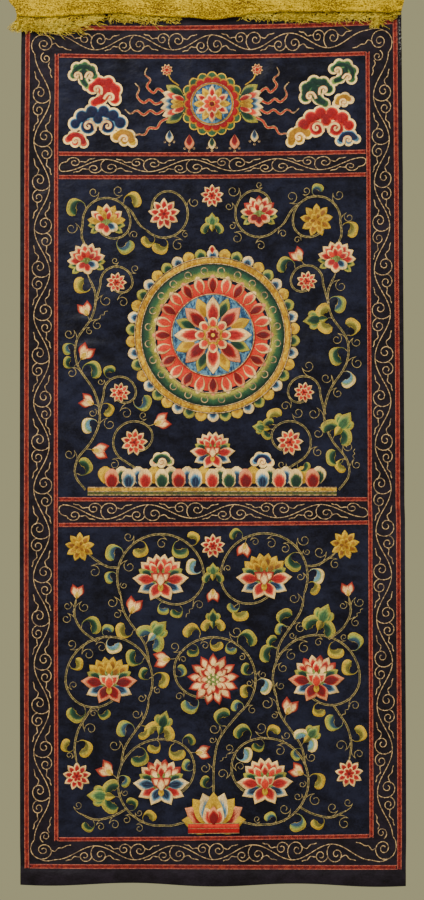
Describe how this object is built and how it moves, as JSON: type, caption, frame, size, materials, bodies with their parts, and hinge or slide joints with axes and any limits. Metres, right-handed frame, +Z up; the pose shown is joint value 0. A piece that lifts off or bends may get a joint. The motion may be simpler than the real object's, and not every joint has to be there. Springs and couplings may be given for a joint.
{
  "type": "buddhist silk banner",
  "caption": "Tall dark silk banner with embroidered fields, couched red and gold frame bands, a turned hem and a torn yellow silk heading.",
  "frame": {"origin": "middle of the heading's top edge, where the banner hangs", "axes": "+Z up along the banner's length, +X to the viewer's right, the worked face looks towards -Y"},
  "size_m": [0.361, 0.0129, 0.8281],
  "materials": {
    "dark_silk": "dark blue silk satin, low sheen, finely puckered",
    "couched_band": "red silk chain stitch between couched gold cords",
    "yellow_silk": "mustard yellow crepe silk, soft and faded",
    "ravelled_silk": "ravelled yellow silk threads"
  },
  "bodies": {
    "root": {"silk_panel": "dark_silk", "outer_band_left": "couched_band", "outer_band_right": "couched_band", "outer_band_top": "couched_band", "outer_band_bottom": "couched_band", "inner_band_left": "couched_band", "inner_band_right": "couched_band", "inner_band_top": "couched_band", "inner_band_bottom": "couched_band", "cross_band_1": "couched_band", "cross_band_2": "couched_band", "cross_band_3": "couched_band", "cross_band_4": "couched_band", "heading": "yellow_silk", "ravelled_edge_left": "ravelled_silk", "ravelled_edge_middle": "ravelled_silk", "ravelled_edge_right": "ravelled_silk"}
  },
  "joints": []
}
